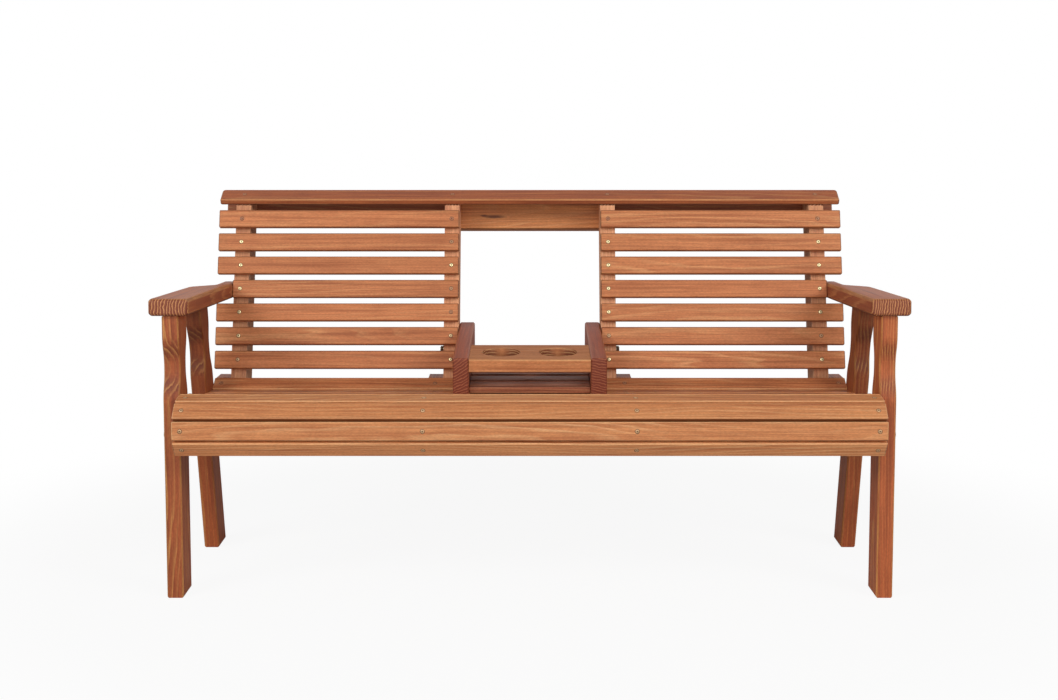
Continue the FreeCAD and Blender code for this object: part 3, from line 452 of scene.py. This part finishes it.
def slatTree():
    tree, given = newTree("slatRun", [
        ("Width", "Float"), ("Thickness", "Float"), ("Edge radius", "Float"), ("End easing", "Float"),
        ("Finish", "Material")])
    radius = given["Edge radius"]
    kept = {}
    for name in (*slatValues, *treeValues):
        kept[name] = addNode(tree, "GeometryNodeInputNamedAttribute", {"Name": name},
                             data_type=treeValues.get(name, "FLOAT_VECTOR"))

    # rings of points at both ends of each run, closer together towards the end
    rings = slatSizes["endRings"]
    spot = addNode(tree, "GeometryNodeSplineParameter").outputs
    total = addNode(tree, "GeometryNodeSplineLength").outputs["Length"]
    mirrored = addNode(tree, "ShaderNodeMath", [2 * rings - 1, spot["Index"]], operation="SUBTRACT")
    nearest = addNode(tree, "ShaderNodeMath", [spot["Index"], mirrored], operation="MINIMUM")
    turn = addNode(tree, "ShaderNodeMath", [nearest, math.pi / 2 / (rings - 1)], operation="MULTIPLY")
    eased = []
    for curve in ("COSINE", "SINE"):
        part = addNode(tree, "ShaderNodeMath", [turn], operation=curve)
        part = addNode(tree, "ShaderNodeMath", [1.0, part], operation="SUBTRACT")
        part = addNode(tree, "ShaderNodeMath", [given["End easing"], part], operation="MULTIPLY")
        eased.append(part)
    fromEnd, inset = eased
    farHalf = addNode(tree, "ShaderNodeMath", [spot["Index"], rings - 0.5], operation="GREATER_THAN")
    both = addNode(tree, "ShaderNodeMath", [fromEnd, 2.0], operation="MULTIPLY")
    between = addNode(tree, "ShaderNodeMath", [total, both], operation="SUBTRACT")
    wanted = addNode(tree, "ShaderNodeMath", [farHalf, between, fromEnd], operation="MULTIPLY_ADD")
    further = addNode(tree, "ShaderNodeMath", [wanted, spot["Length"]], operation="SUBTRACT")
    tangent = addNode(tree, "GeometryNodeInputTangent")
    slide = addNode(tree, "ShaderNodeVectorMath", {0: tangent, "Scale": further}, operation="SCALE")
    runs = addNode(tree, "GeometryNodeMeshToCurve", [given["Geometry"]])
    runs = addNode(tree, "GeometryNodeResampleCurve", {"Curve": runs, "Count": 2 * rings},
                   mode="COUNT")
    for name, value in (("runInset", inset), ("runLength", wanted)):
        runs = addNode(tree, "GeometryNodeStoreNamedAttribute", {
            "Geometry": runs, "Name": name, "Value": value}, data_type="FLOAT")
    runs = addNode(tree, "GeometryNodeSetPosition", {0: runs, "Offset": slide})
    place = addNode(tree, "GeometryNodeInputPosition")
    runs = addNode(tree, "GeometryNodeStoreNamedAttribute", {
        "Geometry": runs, "Name": "runSpot", "Value": place}, data_type="FLOAT_VECTOR")

    # the section, whose own coordinates each point keeps
    section = addNode(tree, "GeometryNodeCurvePrimitiveQuadrilateral", [
        given["Width"], given["Thickness"]])
    section = addNode(tree, "GeometryNodeFilletCurve", {
        "Curve": section, "Count": slatSizes["cornerSteps"], "Radius": radius}, mode="POLY")
    section = addNode(tree, "GeometryNodeStoreNamedAttribute", {
        "Geometry": section, "Name": "sectionSpot", "Value": place}, data_type="FLOAT_VECTOR")
    boards = addNode(tree, "GeometryNodeCurveToMesh", {
        "Curve": runs, "Profile Curve": section, "Fill Caps": True})

    # each point's own direction out of its rounded corner
    own = addNode(tree, "ShaderNodeSeparateXYZ", [kept["sectionSpot"]]).outputs
    outs = []
    halves = []
    sides = []
    for whole, value in ((given["Width"], own["X"]), (given["Thickness"], own["Y"])):
        halves.append(addNode(tree, "ShaderNodeMath", [whole, 0.5], operation="MULTIPLY"))
        sides.append(addNode(tree, "ShaderNodeMath", [value], operation="SIGN"))
        flat = addNode(tree, "ShaderNodeMath", [halves[-1], radius], operation="SUBTRACT")
        flat = addNode(tree, "ShaderNodeMath", [sides[-1], flat], operation="MULTIPLY")
        outs.append(addNode(tree, "ShaderNodeMath", [value, flat], operation="SUBTRACT"))
    outward = addNode(tree, "ShaderNodeCombineXYZ", outs)
    outward = addNode(tree, "ShaderNodeVectorMath", [outward], operation="NORMALIZE")

    # bevelled inner edges: tight corners, and sides that come in towards the inner face
    taper = addNode(tree, "ShaderNodeSeparateXYZ", [kept["slatTaper"]]).outputs
    onFront = addNode(tree, "ShaderNodeMath", [own["X"], 0.0], operation="LESS_THAN")
    onBack = addNode(tree, "ShaderNodeMath", [1.0, onFront], operation="SUBTRACT")
    cut = addNode(tree, "ShaderNodeMath", [onFront, taper["X"]], operation="MULTIPLY")
    cut = addNode(tree, "ShaderNodeMath", [onBack, taper["Y"], cut], operation="MULTIPLY_ADD")
    near = addNode(tree, "ShaderNodeMath", [radius, slatSizes["tolerance"] * mm], operation="ADD")
    inward = addNode(tree, "ShaderNodeMath", [own["Y"], halves[1]], operation="ADD")
    inward = addNode(tree, "ShaderNodeMath", [inward, near], operation="LESS_THAN")
    sideways = addNode(tree, "ShaderNodeMath", [own["X"]], operation="ABSOLUTE")
    sideways = addNode(tree, "ShaderNodeMath", [halves[0], sideways], operation="SUBTRACT")
    sideways = addNode(tree, "ShaderNodeMath", [sideways, near], operation="LESS_THAN")
    bevelled = addNode(tree, "ShaderNodeMath", [cut, slatSizes["leastBevel"] * mm],
                       operation="GREATER_THAN")
    tight = 1 - slatSizes["bevelledCorner"] / slatSizes["edgeRadius"]
    for factor in (bevelled, inward, sideways):
        tight = addNode(tree, "ShaderNodeMath", [tight, factor], operation="MULTIPLY")
    cornerSide = addNode(tree, "ShaderNodeMath", [sides[0], halves[0]], operation="MULTIPLY")
    cornerDepth = addNode(tree, "ShaderNodeMath", [halves[1], -1.0], operation="MULTIPLY")
    corner = addNode(tree, "ShaderNodeCombineXYZ", [cornerSide, cornerDepth])
    moved = addNode(tree, "ShaderNodeVectorMath", [corner, kept["sectionSpot"]], operation="SUBTRACT")
    moved = addNode(tree, "ShaderNodeVectorMath", {0: moved, "Scale": tight}, operation="SCALE")
    drawnIn = addNode(tree, "ShaderNodeVectorMath", {0: outward, "Scale": kept["runInset"]},
                      operation="SCALE")
    shrunk = addNode(tree, "ShaderNodeVectorMath", [kept["sectionSpot"], moved], operation="ADD")
    shrunk = addNode(tree, "ShaderNodeVectorMath", [shrunk, drawnIn], operation="SUBTRACT")
    shrunk = addNode(tree, "ShaderNodeSeparateXYZ", [shrunk]).outputs
    share = addNode(tree, "ShaderNodeMath", [shrunk["Y"], given["Thickness"]], operation="DIVIDE")
    share = addNode(tree, "ShaderNodeMath", [0.5, share], operation="SUBTRACT")
    for factor in (sides[0], cut):
        share = addNode(tree, "ShaderNodeMath", [share, factor], operation="MULTIPLY")
    wide = addNode(tree, "ShaderNodeMath", [shrunk["X"], share], operation="SUBTRACT")
    sideStep = addNode(tree, "ShaderNodeVectorMath", {0: kept["slatAcross"], "Scale": wide},
                       operation="SCALE")
    upStep = addNode(tree, "ShaderNodeVectorMath", {0: kept["slatUp"], "Scale": shrunk["Y"]},
                     operation="SCALE")
    finished = addNode(tree, "ShaderNodeVectorMath", [sideStep, upStep], operation="ADD")
    finished = addNode(tree, "ShaderNodeVectorMath", [kept["runSpot"], finished], operation="ADD")
    boards = addNode(tree, "GeometryNodeSetPosition", {0: boards, "Position": finished})

    # what the pine reads: coordinates in the log, end grain and the rounded edges
    local = addNode(tree, "ShaderNodeCombineXYZ", [kept["runLength"], wide, shrunk["Y"]])
    local = addNode(tree, "ShaderNodeVectorMath", [local, kept["slatShift"]], operation="ADD")
    normal = addNode(tree, "GeometryNodeInputNormal")
    along = addNode(tree, "ShaderNodeVectorMath", [kept["slatAcross"], kept["slatUp"]],
                    operation="CROSS_PRODUCT")
    leans = []
    for axis in (along, kept["slatUp"]):
        lean = addNode(tree, "ShaderNodeVectorMath", [normal, axis], operation="DOT_PRODUCT")
        leans.append(addNode(tree, "ShaderNodeMath", [lean.outputs["Value"]], operation="ABSOLUTE"))
    sawn = addNode(tree, "ShaderNodeMath", [leans[0], arrisLimits["endFacing"]],
                   operation="GREATER_THAN")
    least, most = slatSizes["arrisLean"]
    arris = addNode(tree, "ShaderNodeMath", [leans[1], least], operation="GREATER_THAN")
    flatter = addNode(tree, "ShaderNodeMath", [leans[1], most], operation="LESS_THAN")
    rise = addNode(tree, "ShaderNodeSeparateXYZ", [normal]).outputs["Z"]
    rise = addNode(tree, "ShaderNodeMath", [rise, *arrisLimits["slope"]], operation="MULTIPLY_ADD")
    rise = addNode(tree, "ShaderNodeMath", [rise, -1.0], operation="MAXIMUM")
    rise = addNode(tree, "ShaderNodeMath", [rise, 1.0], operation="MINIMUM")
    for factor in (flatter, rise):
        arris = addNode(tree, "ShaderNodeMath", [arris, factor], operation="MULTIPLY")
    for name, value, kind, domain in (("grainCoord", local, "FLOAT_VECTOR", "POINT"),
                                      ("boardLook", kept["slatLook"], "FLOAT_VECTOR", "POINT"),
                                      ("endGrainAndShade", sawn, "FLOAT", "FACE"),
                                      ("arris", arris, "FLOAT", "FACE")):
        boards = addNode(tree, "GeometryNodeStoreNamedAttribute", {
            "Geometry": boards, "Name": name, "Value": value}, data_type=kind, domain=domain)
    boards = addNode(tree, "GeometryNodeSetShadeSmooth", [boards])
    boards = addNode(tree, "GeometryNodeRealizeInstances", [boards])
    boards = addNode(tree, "GeometryNodeSetMaterial", {0: boards, "Material": given["Finish"]})
    addNode(tree, "NodeGroupOutput", [boards])
    return tree


logSizes = {
    # mm within which a board lay in its log, where its table doesn't say
    "along": 40,           # either way
    "side": 70,            # of the pith, either way
    "depth": (35, 150),    # from the pith
}


def logShift(random, pith=None):
    # where a board lay in its log: along it, and its middle's distance from the pith
    side = random.uniform(-logSizes["side"], logSizes["side"]) if pith is None else pith[0]
    deep = random.uniform(*logSizes["depth"]) if pith is None else pith[1]
    return (random.uniform(-logSizes["along"], logSizes["along"]), side * mm, deep * mm)


def makeSlats(piece, tree, random):
    body, material, prefix, (leastFigure, mostFigure), arrisWearAndLight = slatPieces[piece]
    names = sorted(name for name in cadNodes if name.startswith(prefix))
    slats = [measureSlat(name) for name in names]
    points = [point for slat in slats for point in (slat["start"], slat["end"])]
    mesh = bpy.data.meshes.new(piece + "Runs")
    mesh.from_pydata(points, [(2 * n, 2 * n + 1) for n in range(len(slats))], [])
    shifts = [logShift(random) for slat in slats]
    looks = [(random.uniform(-slatSizes["tone"], slatSizes["tone"]),
              random.uniform(leastFigure, mostFigure), arrisWearAndLight) for slat in slats]
    measured = [[slat[key] for slat in slats] for key in ("across", "up", "taper")]
    for name, rows in zip(slatValues, (*measured, shifts, looks)):
        addValues(mesh, name, [row for row in rows for end in range(2)])
    boards = madeBy(tree, piece, mesh, {
        "Width": slats[0]["width"], "Thickness": slats[0]["thick"], "Finish": material,
        "Edge radius": slatSizes["edgeRadius"] * mm, "End easing": slatSizes["endEasing"] * mm})
    for name in (*slatValues, *treeValues):
        if name in boards.data.attributes:
            boards.data.attributes.remove(boards.data.attributes[name])
    shape = bmesh.new()
    shape.from_mesh(boards.data)
    bmesh.ops.recalc_face_normals(shape, faces=shape.faces)
    shape.to_mesh(boards.data)
    shape.free()
    weighted = boards.modifiers.new("weighted", "WEIGHTED_NORMAL")
    weighted.keep_sharp = True
    boards = plainObject(piece, boards)
    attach(boards, body)
    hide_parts(*names)


tree = slatTree()
random = np.random.RandomState(slatSizes["seed"])
for piece in slatPieces:
    makeSlats(piece, tree, random)
print("slats done")


# Sawn and routed boards, from merged copies of their CAD meshes with softened edges.
boardSizes = {
    "mergeGap": 0.01,      # mm
    "flatAngle": 0.4,      # degrees below which neighbouring triangles are one flat
    "bevelAngle": 24.0,    # degrees above which an edge is softened
    "bevelSteps": 3,
    "tone": 0.22,          # how far boards differ in tone
    "arrisWearAndLight": 0.8,           # how pale the upper arrises are, worn and partly a painted highlight
    "arrisLean": (0.15, 0.97),  # a softened edge looks through the board by a share between these
    "soaks": (0.06, 0.36),  # run-out of the grain at which a cut face starts to darken, and its span
    "steep": 0.6,          # faces that look across the board more than this are its sides
    "sideShade": 0.45,     # the same darkening on the armrests' routed sides, painted shade
    "levelShade": 0.2,     # and painted shade on the cup board's level top
    "level": 0.9,          # least upward lean of that top
    "boreShade": -2.0,      # tone of the cup holes' walls, dark with painted shade in the holes
    "boreReach": 60.0,     # mm from the cup board's middle line that those walls lie within
    "seed": 29,
}
plumb, backLean, legLean = sideDirection(90), sideDirection(74.5), sideDirection(106)
armFall, armUp = sideDirection(-2), sideDirection(88)
railUp, capUp = sideDirection(-15.5), sideDirection(118)
boardPieces = {
    # piece: CAD piece, body, direction along the grain, across the thickness, softening mm, figure,
    # and how far its middle lay from the pith, across and through the board, mm
    "frontLegLeft": ("front_leg_left", "bench", plumb, xAxis, 1.4, 0.95, (25, 60)),
    "frontLegRight": ("front_leg_right", "bench", plumb, xAxis, 1.4, 0.95, (-30, 70)),
    "rearLegLeft": ("rear_leg_left", "bench", legLean, xAxis, 1.4, 0.5, (40, 60)),
    "rearLegRight": ("rear_leg_right", "bench", legLean, xAxis, 1.4, 0.5, (20, 80)),
    "armrestLeft": ("armrest_left", "bench", armFall, armUp, 3.0, 0.5, (110, 8)),
    "armrestRight": ("armrest_right", "bench", armFall, armUp, 3.0, 0.5, (-120, -10)),
    "outerSupportLeft": ("outer_support_left", "bench", armFall, xAxis, 2.0, 0.4, (30, 70)),
    "outerSupportRight": ("outer_support_right", "bench", armFall, xAxis, 2.0, 0.4, (-20, 60)),
    "innerSupportLeft": ("inner_support_left", "bench", armFall, xAxis, 2.0, 0.4, (10, 90)),
    "innerSupportRight": ("inner_support_right", "bench", armFall, xAxis, 2.0, 0.4, (-40, 70)),
    "outerUprightLeft": ("outer_upright_left", "bench", backLean, xAxis, 2.5, 0.4, (30, 60)),
    "outerUprightRight": ("outer_upright_right", "bench", backLean, xAxis, 2.5, 0.4, (20, 80)),
    "innerUprightLeft": ("inner_upright_left", "bench", backLean, xAxis, 2.5, 0.5, (-30, 60)),
    "innerUprightRight": ("inner_upright_right", "bench", backLean, xAxis, 2.5, 0.5, (15, 70)),
    "backCap": ("top_cap", "bench", xAxis, capUp, 1.5, 0.4, (30, 90)),
    "backRail": ("rear_rail", "bench", xAxis, railUp, 2.0, 0.4, (10, 60)),
    "backRailLeft": ("rear_rail_left", "bench", xAxis, railUp, 2.0, 0.5, (-30, 70)),
    "backRailRight": ("rear_rail_right", "bench", xAxis, railUp, 2.0, 0.5, (25, 55)),
    "consoleArmLeft": ("console_arm_left", "console", sideDirection(3), xAxis, 1.4, 0.4, (-95, 60)),
    "consoleArmRight": ("console_arm_right", "console", sideDirection(3), xAxis, 1.4, 0.4, (130, 20)),
    "cupBoard": ("cup_board", "console", xAxis, sideDirection(93), 2.0, 0.6, (-40, 50)),
}
# the first of these words that a piece's name holds says its finish, and all others are boardPine
boardFinishes = {
    "backRailLeft": boardPine, "backRailRight": boardPine, "backRail": railPine, "cupBoard": cupPine,
    "Upright": uprightPine, "Leg": legPine, "consoleArm": consoleArmPine,
}
# tone of single boards, pale above 0, and how much of it changes towards the upper end; the rear
# legs' darkening towards the top is painted shade under the armrests, and the side rails' dark tone
# is painted shade under the cap
boardTonesAndShade = {
    "frontLegRight": (1.0, 0), "rearLegLeft": (-0.3, -1.9), "rearLegRight": (-0.3, -1.9),
    "backRailLeft": (-1.2, 0), "backRailRight": (-1.2, 0),
    "outerUprightLeft": (0.1, 0.2), "outerUprightRight": (0.2, 0.4),
    "innerUprightLeft": (1.2, 0.2), "innerUprightRight": (0.8, 0.2), "cupBoard": (0, 0),
}


def rowsOf(items, key):
    rows = np.empty(3 * len(items), np.float32)
    items.foreach_get(key, rows)
    return rows.reshape(-1, 3)


def softenedBoard(piece, node, softening):
    mesh = cadNodes[node].data.copy()
    mesh.materials.clear()
    shape = bmesh.new()
    shape.from_mesh(mesh)
    bmesh.ops.remove_doubles(shape, verts=shape.verts, dist=boardSizes["mergeGap"] * mm)
    bmesh.ops.dissolve_limit(shape, angle_limit=math.radians(boardSizes["flatAngle"]),
                             verts=shape.verts, edges=shape.edges)
    shape.to_mesh(mesh)
    shape.free()
    source = bpy.data.objects.new(piece, mesh)
    bpy.context.scene.collection.objects.link(source)
    soften = source.modifiers.new("soften", "BEVEL")
    soften.width = softening * mm
    soften.segments = boardSizes["bevelSteps"]
    soften.limit_method = "ANGLE"
    soften.angle_limit = math.radians(boardSizes["bevelAngle"])
    soften.harden_normals = True
    return plainObject(piece, source)


def makeBoard(piece, random):
    node, body, along, deep, softening, figure, pith = boardPieces[piece]
    board = softenedBoard(piece, node, softening)
    mesh = board.data
    finishes = [boardFinishes[word] for word in boardFinishes if word in piece]
    mesh.materials.append((finishes + [boardPine])[0])

    # what the pine reads at the points: coordinates in the log, tone with any painted shade, figure,
    # and the arrises' wear with their painted highlight and shade
    across = deep.cross(along).normalized()
    axes = np.array([along, across, deep]).T
    places = rowsOf(mesh.vertices, "co")
    middle = (places.min(0) + places.max(0)) / 2
    shift = logShift(random, pith)
    local = (places - middle) @ axes
    addValues(mesh, "grainCoord", local + shift)
    # painted shade is set here by the table for the rear legs' upper ends and the side rails
    tone, fade = boardTonesAndShade.get(piece, (random.uniform(-boardSizes["tone"], boardSizes["tone"]), 0))
    heights = (places[:, 2] - middle[2]) / max(np.ptp(places[:, 2]) / 2, mm)
    tones = tone + fade * heights
    # painted shade on the cup holes' walls
    if piece == "cupBoard":
        inside = np.abs(local[:, 1]) < boardSizes["boreReach"] * mm
        below = np.abs(local[:, 2]) < np.ptp(local[:, 2]) / 2 - softening * mm
        tones[inside & below] = boardSizes["boreShade"]
    addValues(mesh, "boardLook", [(own, figure, boardSizes["arrisWearAndLight"]) for own in tones])

    # and on the faces: how much stain they took up, with painted shade on the armrests' sides and the
    # cup board's top, and the softened edges
    normals = rowsOf(mesh.polygons, "normal")
    facing = np.abs(normals @ axes)
    least, most = boardSizes["arrisLean"]
    rounded = (facing[:, 2] > least) & (facing[:, 2] < most)
    rounded &= facing[:, 0] < arrisLimits["endFacing"]
    start, span = boardSizes["soaks"]
    soakedAndShaded = np.clip((facing[:, 0] - start) / span, 0, 1)
    # painted shade on the armrests' routed sides, carried with the end grain
    if "armrest" in piece:
        soakedAndShaded = np.maximum(soakedAndShaded, boardSizes["sideShade"] * (facing[:, 1] > boardSizes["steep"]))
    # painted shade on the cup board's level top
    if piece == "cupBoard":
        soakedAndShaded = np.maximum(soakedAndShaded, boardSizes["levelShade"] * (normals[:, 2] > boardSizes["level"]))
    times, plus = arrisLimits["slope"]
    rise = np.clip(times * normals[:, 2] + plus, -1, 1)
    addValues(mesh, "endGrainAndShade", soakedAndShaded, "FLOAT", "FACE")
    addValues(mesh, "arris", rounded * rise, "FLOAT", "FACE")
    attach(board, body)
    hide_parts(node)


random = np.random.RandomState(boardSizes["seed"])
for piece in boardPieces:
    makeBoard(piece, random)
print("boards done")


# Screw heads, one wherever a slat or the cap crosses a board that carries it.
screwSizes = {
    "rimRadius": 5.3,      # mm, edge of the countersink, whose painted shade shows as a dark ring
    "facets": 12,
    # rise in mm and width left after each step, from the rim inwards over the head into its recess
    "steps": ((0.05, 0.84), (0.3, 0.97), (0.45, 0.8), (0.25, 0.72), (0.05, 0.62), (-0.9, 0.85)),
    # how stained the heads are on the back's slats, from the top row down, in columns from the left
    "stained": {
        "left": ((1, 0, 0, 0, 0, 0.2, 0.6), (1, 0.8, 0, 0.8, 0.9, 0.4, 0.1)),
        "right": ((1, 0, 0, 0, 0, 0.6, 0), (0.9, 0, 0, 0, 0.1, 0.7, 0)),
    },
    "stainedElsewhere": {"apron_slat_": 0.65, "seat_slat_": 0.95, "cap": 0.95},
    "carriers": {"apron_slat_": "support", "seat_slat_": "support", "back_slat_": "upright"},
    "capFace": 8.5,        # mm from the cap's middle to its face
    "proud": 0.1,          # mm that the rim stands over the wood
    "seed": 5,
}


def screwTree():
    tree, given = newTree("screwHeads", [("Rim radius", "Float"), ("Finish", "Material")])
    head = addNode(tree, "GeometryNodeMeshCircle", [screwSizes["facets"], given["Rim radius"]],
                   fill_type="NGON")
    top = rim = None
    for rise, width in screwSizes["steps"]:
        links = {"Mesh": head, "Offset Scale": rise * mm, "Individual": False}
        if top is not None:
            links["Selection"] = top
        raised = addNode(tree, "GeometryNodeExtrudeMesh", links).outputs
        top = raised["Top"]
        rim = rim or raised["Side"]
        head = addNode(tree, "GeometryNodeScaleElements", {
            0: raised["Mesh"], "Selection": top, "Scale": width})
    # painted shade on the drive recess and the countersink's rim
    dark = addNode(tree, "FunctionNodeBooleanMath", [top, rim], operation="OR")
    head = addNode(tree, "GeometryNodeStoreNamedAttribute", {
        "Geometry": head, "Name": "recessShade", "Value": dark}, domain="FACE")
    outward = addNode(tree, "GeometryNodeInputNamedAttribute", {"Name": "screwOut"},
                      data_type="FLOAT_VECTOR")
    turned = addNode(tree, "FunctionNodeAlignRotationToVector", {"Vector": outward})
    spin = addNode(tree, "FunctionNodeRandomValue", {
        2: 0.0, 3: 2 * math.pi, "Seed": screwSizes["seed"]}).outputs[1]
    spin = addNode(tree, "FunctionNodeAxisAngleToRotation", {"Angle": spin})
    turned = addNode(tree, "FunctionNodeRotateRotation", [turned, spin], rotation_space="LOCAL")
    heads = addNode(tree, "GeometryNodeInstanceOnPoints", {
        "Points": given["Geometry"], "Instance": head, "Rotation": turned})
    heads = addNode(tree, "GeometryNodeRealizeInstances", [heads])
    heads = addNode(tree, "GeometryNodeSetMaterial", {0: heads, "Material": given["Finish"]})
    addNode(tree, "NodeGroupOutput", [heads])
    return tree


def middlesOf(kind):
    # X of the middles of all boards whose names hold a word
    boxes = [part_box(name) for name in cadNodes if kind in name]
    return sorted({round((low.x + high.x) / 2, 4) for low, high in boxes})


def screwPlaces():
    # place, outward direction and stain of each screw
    places = []
    elsewhere = screwSizes["stainedElsewhere"]
    for prefix, kind in screwSizes["carriers"].items():
        columns = middlesOf(kind)
        for name in sorted(cadNodes):
            if name.startswith(prefix):
                slat = measureSlat(name)
                spot = slat["start"] + slat["up"] * (slat["thick"] / 2)
                reached = [x for x in columns if slat["start"].x < x < slat["end"].x]
                for column, x in enumerate(reached):
                    stain = elsewhere.get(prefix)
                    if stain is None:
                        side, row = name.split("_")[2:]
                        stain = screwSizes["stained"][side][column][int(row) - 1]
                    places.append((Vector((x, spot.y, spot.z)), slat["up"], stain))
    low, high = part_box("top_cap")
    spot = (low + high) / 2 + capUp * screwSizes["capFace"] * mm
    for x in middlesOf("upright"):
        places.append((Vector((x, spot.y, spot.z)), capUp, elsewhere["cap"]))
    return places


def makeScrews(tree):
    places = screwPlaces()
    mesh = bpy.data.meshes.new("screwPoints")
    mesh.from_pydata([spot + out * screwSizes["proud"] * mm for spot, out, stain in places], [], [])
    addValues(mesh, "screwOut", [out for spot, out, stain in places])
    addValues(mesh, "screwStain", [stain for spot, out, stain in places], "FLOAT")
    heads = madeBy(tree, "slatScrews", mesh, {
        "Rim radius": screwSizes["rimRadius"] * mm, "Finish": brassSteel})
    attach(heads, "bench")
    print("screws done,", len(places))


makeScrews(screwTree())


# the bolts, washers and nuts are the CAD's own solids
for name, node in cadNodes.items():
    if name.startswith(("carriage_", "pivot_")):
        node.data.materials.clear()
        node.data.materials.append(steel)
print("hardware finished")


studio = {
    "cameraHeight": 1.105,
    "cameraBack": -3.82556,
    "pitch": 5.415,        # degrees below the level
    "lens": 54.9,
    "sensor": 36,
    "shift": (-0.0008, -0.0877),
    "floorSize": 40.0,
    "floor": "#E2E2E0",
    "floorRoughness": 0.9,
    "floorGlow": 0.92,     # share of the floor near the bench that is plain white to the camera
    "shadowReach": (1.0, 1.9),  # m from the middle over which the floor turns all white
    "keySize": (2.0, 1.6),
    "keyPlace": (3.0, -2.8, 2.6),
    "keyPower": 80.0,
    "fillPlace": (0.0, -4.6, 1.4),
    "fillSize": (3.0, 1.6),
    "fillPower": 50.0,
    "aim": (0, 0, 0.5),    # where the lights point
    "worldStrength": 0.12,
}


def softbox(name, place, size, power):
    light = bpy.data.lights.new(name, "AREA")
    light.shape = "RECTANGLE"
    light.size, light.size_y = size
    light.energy = power
    lamp = bpy.data.objects.new(name, light)
    lamp.location = place
    lamp.rotation_euler = (Vector(studio["aim"]) - Vector(place)).to_track_quat("-Z", "Y").to_euler()
    bpy.context.scene.collection.objects.link(lamp)


def makeFloor():
    half = studio["floorSize"] / 2
    corners = [(-half, -half, 0), (half, -half, 0), (half, half, 0), (-half, half, 0)]
    mesh = bpy.data.meshes.new("studioFloor")
    mesh.from_pydata(corners, [], [(0, 1, 2, 3)])
    floor = bpy.data.objects.new("studioFloor", mesh)
    bpy.context.scene.collection.objects.link(floor)
    material, tree, surface = newMaterial("matteWhitePaper")
    feedNode(tree, surface, {
        "Base Color": linearColour(studio["floor"]), "Roughness": studio["floorRoughness"],
        "Specular IOR Level": 0.0})
    spot = addNode(tree, "ShaderNodeTexCoord").outputs["Object"]
    away = addNode(tree, "ShaderNodeVectorMath", [spot], operation="LENGTH").outputs["Value"]
    white = addNode(tree, "ShaderNodeMapRange", [
        away, *studio["shadowReach"], studio["floorGlow"], 1.0], interpolation_type="SMOOTHSTEP")
    rays = addNode(tree, "ShaderNodeLightPath").outputs
    seen = addNode(tree, "ShaderNodeMath", [rays["Is Camera Ray"], white], operation="MULTIPLY")
    glow = addNode(tree, "ShaderNodeEmission", {"Color": (1, 1, 1, 1), "Strength": 1.0})
    both = addNode(tree, "ShaderNodeMixShader", [seen, surface, glow])
    feedNode(tree, tree.nodes["Material Output"], {"Surface": both})
    mesh.materials.append(material)


def makeWorld():
    # white to the camera and in reflections, and a dim even light to everything else
    world = bpy.data.worlds.new("studioWhite")
    bpy.context.scene.world = world
    world.use_nodes = True
    tree = world.node_tree
    tree.nodes.clear()
    rays = addNode(tree, "ShaderNodeLightPath").outputs
    seen = rays["Is Camera Ray"]
    for kind in ("Is Transmission Ray", "Is Glossy Ray"):
        seen = addNode(tree, "ShaderNodeMath", [seen, rays[kind]], operation="MAXIMUM")
    strength = addNode(tree, "ShaderNodeMapRange", {
        "Value": seen, "To Min": studio["worldStrength"], "To Max": 1.0})
    sky = addNode(tree, "ShaderNodeBackground", {"Color": (1, 1, 1, 1), "Strength": strength})
    addNode(tree, "ShaderNodeOutputWorld", {"Surface": sky})


def makeCamera():
    camera = bpy.data.cameras.new("camera")
    camera.sensor_width = studio["sensor"]
    camera.lens = studio["lens"]
    camera.shift_x, camera.shift_y = studio["shift"]
    holder = bpy.data.objects.new("camera", camera)
    holder.location = (0, studio["cameraBack"], studio["cameraHeight"])
    holder.rotation_euler = (math.radians(90 - studio["pitch"]), 0, 0)
    bpy.context.scene.collection.objects.link(holder)
    bpy.context.scene.camera = holder


makeFloor()
makeWorld()
makeCamera()
x, y, z = studio["keyPlace"]
softbox("keyLeft", (-x, y, z), studio["keySize"], studio["keyPower"])
softbox("keyRight", (x, y, z), studio["keySize"], studio["keyPower"])
softbox("fillFront", studio["fillPlace"], studio["fillSize"], studio["fillPower"])
bpy.context.scene.view_settings.view_transform = "Standard"
print("studio ready")
